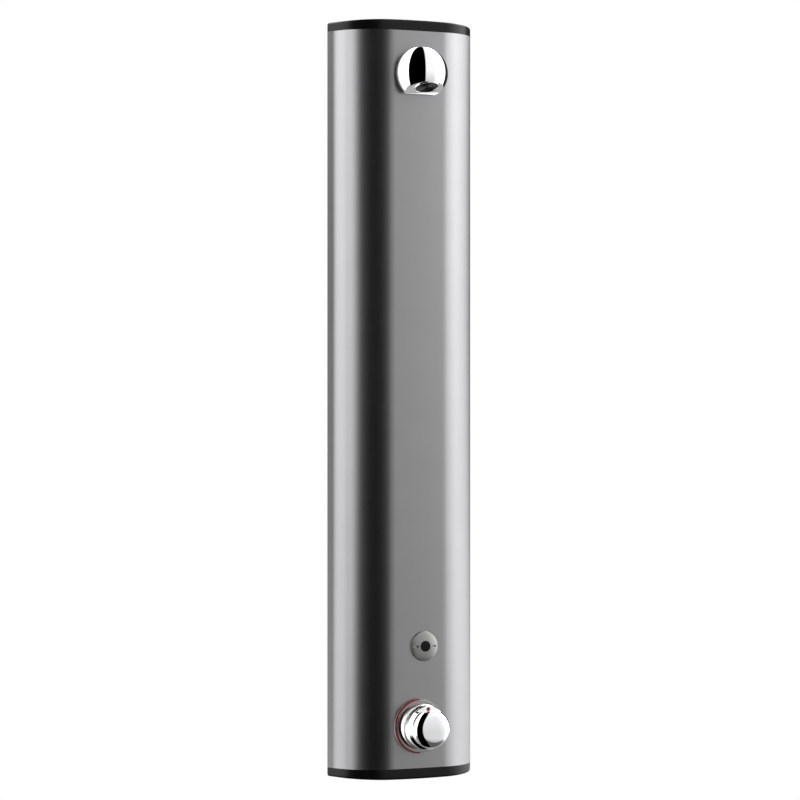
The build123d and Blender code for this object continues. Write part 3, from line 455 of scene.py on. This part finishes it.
def on_front(height, across=0.0):
    """Place on the front face, its Z pointing at the user."""
    return facing(across, -PANEL_DEPTH, height, (0, -1, 0))


def crown_block(height, half_height, grow=0.0):
    """Solid behind the crowned front, used to seat turned pieces on the curve."""
    mesh = bmesh.new()
    half_width, back, steps = CROWN_REACH, -PANEL_DEPTH + 20, 48
    plan = []
    for step in range(steps + 1):
        x = half_width * (2 * step / steps - 1)
        plan.append((x, -PANEL_DEPTH + CROWN_RADIUS - sqrt(CROWN_RADIUS ** 2 - x ** 2) - grow))
    plan += [(half_width, back), (-half_width, back)]
    base = [mesh.verts.new((x * MM, y * MM, (height - half_height) * MM)) for x, y in plan]
    face = mesh.faces.new(base)
    grown = bmesh.ops.extrude_face_region(mesh, geom=[face])
    moved = [item for item in grown["geom"] if isinstance(item, bmesh.types.BMVert)]
    bmesh.ops.translate(mesh, verts=moved, vec=(0, 0, 2 * half_height * MM))
    bmesh.ops.recalc_face_normals(mesh, faces=mesh.faces)
    return new_piece("crown_tool", mesh, Matrix.Identity(4))


def block(size, place):
    """Box of a size in mm, centred on a place."""
    mesh = bmesh.new()
    bmesh.ops.create_cube(mesh, size=1.0)
    bmesh.ops.scale(mesh, verts=mesh.verts, vec=Vector(size) * MM)
    return new_piece("block_tool", mesh, place)


print("head, sensor and knob heights in mm:", HEAD_HEIGHT, SENSOR_HEIGHT, KNOB_HEIGHT)

# %% [markdown]
# ## The ball head
# The head is a turned and chromed brass ball. A slanted cut under it carries the outlet. A ball is
# the hardest test of a mirror finish, so it is made from an outline of half circle arcs, not from
# triangles, and then cut as on a milling machine.


# %% Shower head ball
BALL_RADIUS = 40.2
BALL_STANDOFF = 9.5
BALL_STEPS = 90
HEAD_GASKET = 4.0
CUT_ANGLE = 70.0
CUT_DISTANCE = 27.0
OUTLET_FORWARD = 10.0
RING_RADIUS = 18.8
RING_PROUD = 1.2
NOZZLE_RADIUS = 17.0
NOZZLE_DEPTH = 6.0
ball_centre = Vector((0, -PANEL_DEPTH - BALL_STANDOFF, HEAD_HEIGHT))


def under_ball(forward=0.0):
    """Place on the slanted cut, its Z pointing down and out."""
    lean = radians(CUT_ANGLE)
    out = Vector((0, -cos(lean), -sin(lean)))
    ahead = Vector((0, -sin(lean), cos(lean)))
    return facing(*(ball_centre + CUT_DISTANCE * out + forward * ahead), out)


half_circle = []
for step in range(BALL_STEPS + 1):
    turn = pi * step / BALL_STEPS
    half_circle.append(Vector((BALL_RADIUS * sin(turn), -BALL_RADIUS * cos(turn))))
half_circle[0].x = half_circle[-1].x = 0.0
ball = spun("head_ball", half_circle, facing(*ball_centre, (0, -1, 0)))
cut_away(ball, crown_block(HEAD_HEIGHT, CROWN_REACH, HEAD_GASKET))
slab = 3 * BALL_RADIUS
cut_place = under_ball()
cut_away(ball, block((slab, slab, slab), cut_place @ Matrix.Translation((0, 0, slab / 2 * MM))))
socket_radius = RING_RADIUS + FIT
socket = [Vector((0, -NOZZLE_DEPTH)), Vector((socket_radius, -NOZZLE_DEPTH)), Vector((socket_radius, 20)),
          Vector((0, 20))]
cut_away(ball, spun("socket_tool", socket, under_ball(OUTLET_FORWARD)))
ease_edges(ball, 0.5)
finish_piece(ball, "chrome_plate", "root", "shower_head_body")

# %% [markdown]
# ## The gasket behind the ball
# A flat rubber ring seals the ball to the crowned front. It is a little smaller than the ball's
# footprint and stops short of the slanted cut, so that it stays out of sight from below.

# %% Head gasket
GASKET_INSET = 2.4
GASKET_BORE = 17.2
GASKET_TRIM = 3.0
gasket_radius = sqrt(BALL_RADIUS ** 2 - (BALL_STANDOFF - HEAD_GASKET) ** 2) - GASKET_INSET
gasket_outline = rounded([(GASKET_BORE, -1.0, 0), (gasket_radius, -1.0, 0.01),
                          (gasket_radius, HEAD_GASKET, 0.2), (GASKET_BORE, HEAD_GASKET, 0)])
gasket = spun("head_gasket_ring", gasket_outline, on_front(HEAD_HEIGHT), closed=True)
cut_away(gasket, crown_block(HEAD_HEIGHT, CROWN_REACH))
above_cut = cut_place @ Matrix.Translation((0, 0, (slab / 2 - GASKET_TRIM) * MM))
cut_away(gasket, block((slab, slab, slab), above_cut))
finish_piece(gasket, "seal_rubber", "root", "head_seal")

# %% [markdown]
# ## Outlet ring and nozzle
# The ring is a thin chromed lip. The nozzle inside it is a dark moulded disc with rounded ridges
# and grooves that spread the water. It is drawn as one wavy outline.

# %% Outlet ring
outlet = under_ball(OUTLET_FORWARD)
ring_bore = NOZZLE_RADIUS + FIT
ring_outline = rounded([(ring_bore, -NOZZLE_DEPTH, 0), (RING_RADIUS, -NOZZLE_DEPTH, 0.01),
                        (RING_RADIUS, RING_PROUD, 0.9), (ring_bore, RING_PROUD, 0.5),
                        (ring_bore, -NOZZLE_DEPTH, 0)])[:-1]
ring = spun("outlet_ring", ring_outline, outlet, closed=True)
finish_piece(ring, "chrome_plate", "root", "head_outlet_ring")

# %% Spray nozzle
RIDGE_PITCH = 3.6
RIDGE_HEIGHT = 1.2
WAVE_STEPS = 60
NOZZLE_RECESS = 0.8
NOZZLE_SEAT = 1
NOZZLE_RIM = 0.6
nozzle_back = NOZZLE_SEAT - NOZZLE_DEPTH
nozzle_face = RING_PROUD - NOZZLE_RECESS
wave = [Vector((0, nozzle_back)), Vector((NOZZLE_RADIUS, nozzle_back)),
        Vector((NOZZLE_RADIUS, nozzle_face))]
for step in range(1, WAVE_STEPS + 1):
    radius = (NOZZLE_RADIUS - NOZZLE_RIM) * (1 - step / WAVE_STEPS)
    dip = RIDGE_HEIGHT / 2 * (1 - cos(2 * pi * radius / RIDGE_PITCH))
    wave.append(Vector((radius, nozzle_face - dip)))
nozzle = spun("nozzle_disc", wave, outlet)
finish_piece(nozzle, "nozzle_acetal", "root", "spray_nozzle")

# %% [markdown]
# ## The presence sensor
# A person's hand is seen by an infrared sensor behind a dark lens. Its bezel is a shallow domed
# disc of satin steel, with two short slots for a pin spanner.

# %% Sensor bezel
BEZEL_RADIUS = 22.4
BEZEL_EDGE = 1.4
BEZEL_DOME = 3.6
WINDOW_RADIUS = 7.9
SLOT_OUT = 15.05
SLOT_SIZE = (7.7, 2.8, 9.2)
dome_radius = (BEZEL_RADIUS ** 2 + BEZEL_DOME ** 2) / (2 * BEZEL_DOME)
bezel_top = SEAL + BEZEL_EDGE + BEZEL_DOME


def dome_points(outer, inner, count=24):
    """Points on the shallow dome from an outer to an inner radius."""
    points = []
    for step in range(count + 1):
        radius = outer + (inner - outer) * step / count
        points.append(Vector((radius, bezel_top - dome_radius + sqrt(dome_radius ** 2 - radius ** 2))))
    return points


bezel_outline = [Vector((WINDOW_RADIUS + FIT, -2.0)), Vector((BEZEL_RADIUS, -2.0)),
                 Vector((BEZEL_RADIUS, SEAL + BEZEL_EDGE * 0.6))]
bezel_outline += dome_points(BEZEL_RADIUS - 0.5, WINDOW_RADIUS + 0.5)
bezel_outline.append(Vector((WINDOW_RADIUS + FIT, bezel_outline[-1].y - 0.3)))
sensor_place = on_front(SENSOR_HEIGHT, SENSOR_OFFSET)
bezel = spun("sensor_bezel_disc", bezel_outline, sensor_place, closed=True)
cut_away(bezel, crown_block(SENSOR_HEIGHT, 40.0, SEAL))
for side in (-1, 1):
    slot_place = sensor_place @ Matrix.Translation(Vector((side * SLOT_OUT, 0, bezel_top)) * MM)
    cut_away(bezel, block(SLOT_SIZE, slot_place))
ease_edges(bezel, 0.25)
finish_piece(bezel, "satin_steel", "root", "sensor_bezel")

# %% Sensor lens
LENS_THICKNESS = 4
lens_back = bezel_top - LENS_THICKNESS
lens_outline = [Vector((0, lens_back)), Vector((WINDOW_RADIUS, lens_back))]
lens_outline += dome_points(WINDOW_RADIUS, 0.0, 12)
lens_outline[-1].x = 0.0
lens = spun("sensor_lens", lens_outline, sensor_place)
finish_piece(lens, "lens_black", "root", "sensor_window")

# %% [markdown]
# ## The temperature knob
# The knob is cast and chromed: a slightly conical skirt, a waist, and a round grip with a domed
# front. A flat is milled on top for the thumb, so that the hand feels which way it points. Every
# real edge has a polished radius, which is what makes chrome look like metal. Behind it stand a
# chromed collar and a steel rosette, with a red plastic arc on the side that makes the water warmer.

# %% Rosette and red arc
ROSETTE_RADIUS = 41.5
ROSETTE_BORE = 22.3
ROSETTE_FLANGE = 1.2
SCALE_TOP = 4.6
ARC_INNER = 39.6
ARC_OUTER = 41.4
HALF_CUT = (60, 120, 60)
knob_place = on_front(KNOB_HEIGHT)
step_radius = ARC_INNER - FIT
rosette_outline = rounded([
    (ROSETTE_BORE, -2.0, 0), (ROSETTE_RADIUS, -2.0, 0.01), (ROSETTE_RADIUS, SEAL + ROSETTE_FLANGE, 0.3),
    (step_radius, SEAL + ROSETTE_FLANGE, 0.1), (step_radius, SEAL + SCALE_TOP, 0.8),
    (ROSETTE_BORE, SEAL + SCALE_TOP, 0)])
rosette = spun("rosette_disc", rosette_outline, knob_place, closed=True)
cut_away(rosette, crown_block(KNOB_HEIGHT, CROWN_REACH, SEAL))
finish_piece(rosette, "satin_steel", "root", "base_rosette")
arc_base = SEAL + ROSETTE_FLANGE
arc_outline = rounded([
    (ARC_INNER, arc_base, 0), (ARC_OUTER, arc_base, 0.1), (ARC_OUTER, SCALE_TOP, 0.5),
    (ARC_INNER, SCALE_TOP, 0.2), (ARC_INNER, arc_base, 0)])[:-1]
arc = spun("warm_side_arc", arc_outline, knob_place, closed=True)
cold_half = knob_place @ Matrix.Translation(Vector((HALF_CUT[0] / 2, 0, 0)) * MM)
cut_away(arc, block(HALF_CUT, cold_half))
finish_piece(arc, "red_marking", "root", "temperature_arc")

# %% Collar
COLLAR_BORE = 30.0
COLLAR_BASE = (35.8, 5.4)
COLLAR_TOP = (34.3, 19.1)
collar_outline = rounded([
    (COLLAR_BORE, COLLAR_BASE[1], 0), (*COLLAR_BASE, 0.3), (*COLLAR_TOP, 1.2),
    (COLLAR_BORE, COLLAR_TOP[1], 0.4), (COLLAR_BORE, COLLAR_BASE[1], 0)], 12)[:-1]
collar = spun("collar_sleeve", collar_outline, knob_place, closed=True)
finish_piece(collar, "chrome_plate", "root", "knob_collar")

# %% Knob
KNOB_START = 20.0
KNOB_BORE = 21.5
BORE_DEPTH = 22
SKIRT = (33.5, 32.9, 12.0)
WAIST = (29.5, 6.0)
GRIP_RADIUS = 29.6
GRIP_HEIGHT = 53.2
GRIP_EDGE = 13.0
DOME = 4.8
THUMB_FLAT = 25.0
FLAT_START = 13.4
FLAT_CUT = (90, 40, 80)
front_dome = (GRIP_RADIUS ** 2 + DOME ** 2) / (2 * DOME)
dome_centre = GRIP_HEIGHT + DOME - front_dome
edge_out = GRIP_RADIUS - GRIP_EDGE
edge_height = dome_centre + sqrt((front_dome - GRIP_EDGE) ** 2 - edge_out ** 2)
edge_turn = atan2(edge_height - dome_centre, edge_out)
knob_outline = rounded([
    (0, KNOB_START + BORE_DEPTH, 0), (KNOB_BORE, KNOB_START + BORE_DEPTH, 0.5),
    (KNOB_BORE, KNOB_START, 0.3), (SKIRT[0], KNOB_START, 2.4), (SKIRT[1], KNOB_START + SKIRT[2], 0.9),
    (WAIST[0], KNOB_START + SKIRT[2] + WAIST[1], 2.0), (GRIP_RADIUS, edge_height, 0)], 10)
for step in range(1, 17):
    turn = edge_turn * step / 16
    knob_outline.append(Vector((edge_out + GRIP_EDGE * cos(turn), edge_height + GRIP_EDGE * sin(turn))))
for step in range(1, 25):
    turn = edge_turn + (pi / 2 - edge_turn) * step / 24
    knob_outline.append(Vector((front_dome * cos(turn), dome_centre + front_dome * sin(turn))))
knob_outline[-1].x = 0.0
knob = spun("knob_handle", knob_outline, knob_place)
flat_centre = Vector((0, THUMB_FLAT + FLAT_CUT[1] / 2, KNOB_START + FLAT_START + FLAT_CUT[2] / 2))
cut_away(knob, block(FLAT_CUT, knob_place @ Matrix.Translation(flat_centre * MM)))

# %% The button's hole in the skirt
BUTTON_HALF = (6.5, 4.0)
BUTTON_GAP = 1.35
BUTTON_OUT = 6.4


def oval_tool(grow, low, high):
    """Upright oval bar with the button's section, for its hole."""
    mesh = bmesh.new()
    loop = []
    for step in range(64):
        turn = 2 * pi * step / 64
        across, out = (half + grow for half in BUTTON_HALF)
        loop.append(mesh.verts.new((across * MM * cos(turn), out * MM * sin(turn), low * MM)))
    face = mesh.faces.new(loop)
    grown = bmesh.ops.extrude_face_region(mesh, geom=[face])
    moved = [item for item in grown["geom"] if isinstance(item, bmesh.types.BMVert)]
    bmesh.ops.translate(mesh, verts=moved, vec=(0, 0, (high - low) * MM))
    bmesh.ops.recalc_face_normals(mesh, faces=mesh.faces)
    centre = Vector((0, -PANEL_DEPTH - KNOB_START - BUTTON_OUT, KNOB_HEIGHT))
    return new_piece("oval_tool", mesh, Matrix.Translation(centre * MM))


cut_away(knob, oval_tool(BUTTON_GAP, 15.0, 60.0))
ease_edges(knob, 0.6)
finish_piece(knob, "chrome_plate", "knob", "thermostat_knob")

# %% [markdown]
# ## Floor, cards and lamps
# Polished metal is a picture of the room around it. A photographer stands white and black cards
# round the piece, and here a tall ring of cards does the same. The camera looks through it.
#
# On a polished ball, a point mirrors the direction that lies as far beyond its normal as the viewer
# lies before it. Halfway between the two is the normal itself. So the cards are painted by the
# halfway direction's angle round the upright axis: every card then shows on the ball as a stripe from
# pole to pole. The table gives the brightness by mirrored direction in degrees, where 0 is straight
# in front of the panel: bright at both sides, black left of the middle and black behind. Cards far
# below are dimmer, and one grey card low at the back lights the slanted cut under the ball.

# %% The ring of cards
CARD_RADIUS = 2.6
CARD_HEIGHT = 14.0
VIEW_AZIMUTH = -26.0
LOW_CARD = 0.5
LOW_CARD_WAY = (0.54, 0.84, 0)
card_levels = (
    (-206, 0.1), (-190, 0.02), (-170, 0.05), (-160, 0.12), (-152, 0.25), (-146, 0.8), (-138, 1.7),
    (-126, 2.5), (-110, 2.75), (-84, 2.6), (-82.5, 0), (-7.5, 0), (-6, 0.93), (30, 0.97), (40, 1.2),
    (54, 2.6), (72, 3.4), (90, 2.9), (98, 2.2), (100, 0.03), (154, 0.03))


def times(tree, first, second):
    """Product of two sockets."""
    return add_node(tree, "ShaderNodeMath", {"operation": "MULTIPLY"}, _0=first, _1=second).outputs[0]


def faded(tree, value, start, end, low=0.0, high=1.0):
    """Goes from low to high while a value goes from start to end."""
    return add_node(tree, "ShaderNodeMapRange", None, Value=value, From_Min=start, From_Max=end,
                    To_Min=low, To_Max=high).outputs[0]


def stripes(tree, place):
    """Brightness of the cards by the halfway direction, as seen from the ball."""
    turn = radians(VIEW_AZIMUTH)
    seen = add_node(tree, "ShaderNodeVectorMath", {"operation": "SUBTRACT"}, _0=place, _1=ball_centre * MM)
    seen = add_node(tree, "ShaderNodeVectorMath", {"operation": "NORMALIZE"}, _0=seen.outputs[0])
    half = add_node(tree, "ShaderNodeVectorMath", {"operation": "ADD"}, _0=seen.outputs[0],
                    _1=(sin(turn), -cos(turn), 0))
    axes = add_node(tree, "ShaderNodeSeparateXYZ", None, _0=half.outputs[0])
    front = times(tree, axes.outputs["Y"], -1.0)
    angle = add_node(tree, "ShaderNodeMath", {"operation": "ARCTAN2"}, _0=axes.outputs["X"], _1=front)
    share = faded(tree, angle.outputs[0], turn - pi / 2, turn + pi / 2)
    ramp = add_node(tree, "ShaderNodeValToRGB", None, Fac=share)
    stops = ramp.color_ramp.elements
    while len(stops) > 1:
        stops.remove(stops[-1])
    for index, (direction, level) in enumerate(card_levels):
        position = (direction + 180 - VIEW_AZIMUTH) / 360
        stop = stops[0] if index == 0 else stops.new(position)
        stop.position = position
        stop.color = (level, level, level, 1)
    return ramp.outputs["Color"]


def card_material():
    """Glowing cards: upright stripes, brighter at the top, with one low grey card at the back."""
    material, tree, out = blank_material("studio_cards")
    place = add_node(tree, "ShaderNodeNewGeometry").outputs["Position"]
    height = add_node(tree, "ShaderNodeSeparateXYZ", None, _0=place).outputs["Z"]
    way = add_node(tree, "ShaderNodeVectorMath", {"operation": "NORMALIZE"}, _0=place).outputs[0]
    slope = add_node(tree, "ShaderNodeSeparateXYZ", None, _0=way).outputs["Z"]
    aside = add_node(tree, "ShaderNodeVectorMath", {"operation": "DOT_PRODUCT"}, _0=way, _1=LOW_CARD_WAY)
    shone = times(tree, stripes(tree, place), faded(tree, height, -0.9, 0.9, 0.85, 1.25))
    shone = times(tree, shone, faded(tree, slope, -0.5, -0.68, 1.0, 0.15))
    under = times(tree, faded(tree, slope, -0.3, -0.4), faded(tree, aside.outputs["Value"], 0.5, 0.7))
    total = add_node(tree, "ShaderNodeMix", {"data_type": "FLOAT"}, Factor=under, A=shone, B=LOW_CARD)
    glow = add_node(tree, "ShaderNodeEmission", None, Color=(1, 1, 1, 1), Strength=total.outputs[0])
    tree.links.new(glow.outputs[0], out.inputs["Surface"])
    return material


mesh = bmesh.new()
bmesh.ops.create_cone(mesh, segments=96, radius1=CARD_RADIUS, radius2=CARD_RADIUS, depth=CARD_HEIGHT,
                      cap_ends=True, cap_tris=True)
cards = new_piece("studio_card_ring", mesh, Matrix.Identity(4))
cards.data.materials.append(card_material())
cards.visible_camera = False
cards.visible_shadow = False
print("cards stand", CARD_RADIUS, "m away")

# %% Floor and world
FLOOR_HEIGHT = -1.55
FLOOR_RADIUS = 2.9
mesh = bmesh.new()
bmesh.ops.create_circle(mesh, cap_ends=True, segments=96, radius=FLOOR_RADIUS)
floor = new_piece("studio_floor", mesh, Matrix.Translation((0, 0, FLOOR_HEIGHT)))
floor_paint, tree, out = blank_material("pale_studio_floor")
paint = add_node(tree, "ShaderNodeBsdfPrincipled", None, Base_Color=linear("#e4e4e2"), Roughness=0.8)
tree.links.new(paint.outputs[0], out.inputs["Surface"])
floor.data.materials.append(floor_paint)
floor.visible_glossy = False

world = bpy.data.worlds.new("white_room")
bpy.context.scene.world = world
world.use_nodes = True
tree = world.node_tree
tree.nodes.clear()
path = add_node(tree, "ShaderNodeLightPath")
seen = add_node(tree, "ShaderNodeMath", {"operation": "MAXIMUM"}, _0=path.outputs["Is Camera Ray"],
                _1=path.outputs["Is Glossy Ray"])
seen = add_node(tree, "ShaderNodeMath", {"operation": "MAXIMUM"}, _0=seen.outputs[0],
                _1=path.outputs["Is Transmission Ray"])
level = between(tree, seen.outputs[0], 0.6, 1.0)
sky = add_node(tree, "ShaderNodeBackground", None, Color=(1, 1, 1, 1), Strength=level)
add_node(tree, "ShaderNodeOutputWorld", None, Surface=sky.outputs[0])
print("floor at", FLOOR_HEIGHT, "m")

# %% [markdown]
# ## Lamps for the matt pieces
# The cards light the metals. Black caps, plastics and brass need light that falls on them, so three
# soft square lamps stand left, right and behind. Mirror reflections don't show the lamps.


# %% Soft lamps
def soft_lamp(name, place, size, watts):
    """Square lamp that looks at the middle of the panel."""
    data = bpy.data.lights.new(name, "AREA")
    data.size = size
    data.energy = watts
    lamp = bpy.data.objects.new(name, data)
    lamp.location = place
    lamp.rotation_euler = (-Vector(place)).to_track_quat("-Z", "Y").to_euler()
    lamp.visible_glossy = False
    bpy.context.scene.collection.objects.link(lamp)
    return lamp


lamps = [soft_lamp("left_softbox", (-1.9, -1.2, 0.9), 1.2, 22),
         soft_lamp("right_softbox", (1.9, -0.9, 0.9), 1.2, 26),
         soft_lamp("rear_softbox", (0.6, 2.0, 1.0), 1.4, 30)]
print("lamps:", ", ".join(lamp.name for lamp in lamps))

# %% [markdown]
# ## The camera
# A long lens stands left of the panel, level with its middle. It looks at the middle of the front;
# a slight shift frames the panel as in the photograph.

# %% Camera
CAMERA_DISTANCE = 4.72
FOCAL_PIXELS = 3115.0
PICTURE = 800.0
CENTRE_COLUMN = 418.6
CENTRE_ROW = 399.5
SENSOR_WIDTH = 36.0
aim = Vector((0, -PANEL_DEPTH * MM, 0))
side = radians(VIEW_AZIMUTH)
camera_data = bpy.data.cameras.new("photo_camera")
camera_data.sensor_width = SENSOR_WIDTH
camera_data.lens = FOCAL_PIXELS / PICTURE * SENSOR_WIDTH
camera_data.shift_x = (PICTURE / 2 - CENTRE_COLUMN) / PICTURE
camera_data.shift_y = (CENTRE_ROW - PICTURE / 2) / PICTURE
camera_data.clip_end = 60
camera = bpy.data.objects.new("photo_camera", camera_data)
camera.location = aim + CAMERA_DISTANCE * Vector((sin(side), -cos(side), 0))
camera.rotation_euler = (aim - camera.location).to_track_quat("-Z", "Y").to_euler()
bpy.context.scene.collection.objects.link(camera)
bpy.context.scene.camera = camera
bpy.context.scene.view_settings.view_transform = "Standard"
print("lens", round(camera_data.lens, 1), "mm")
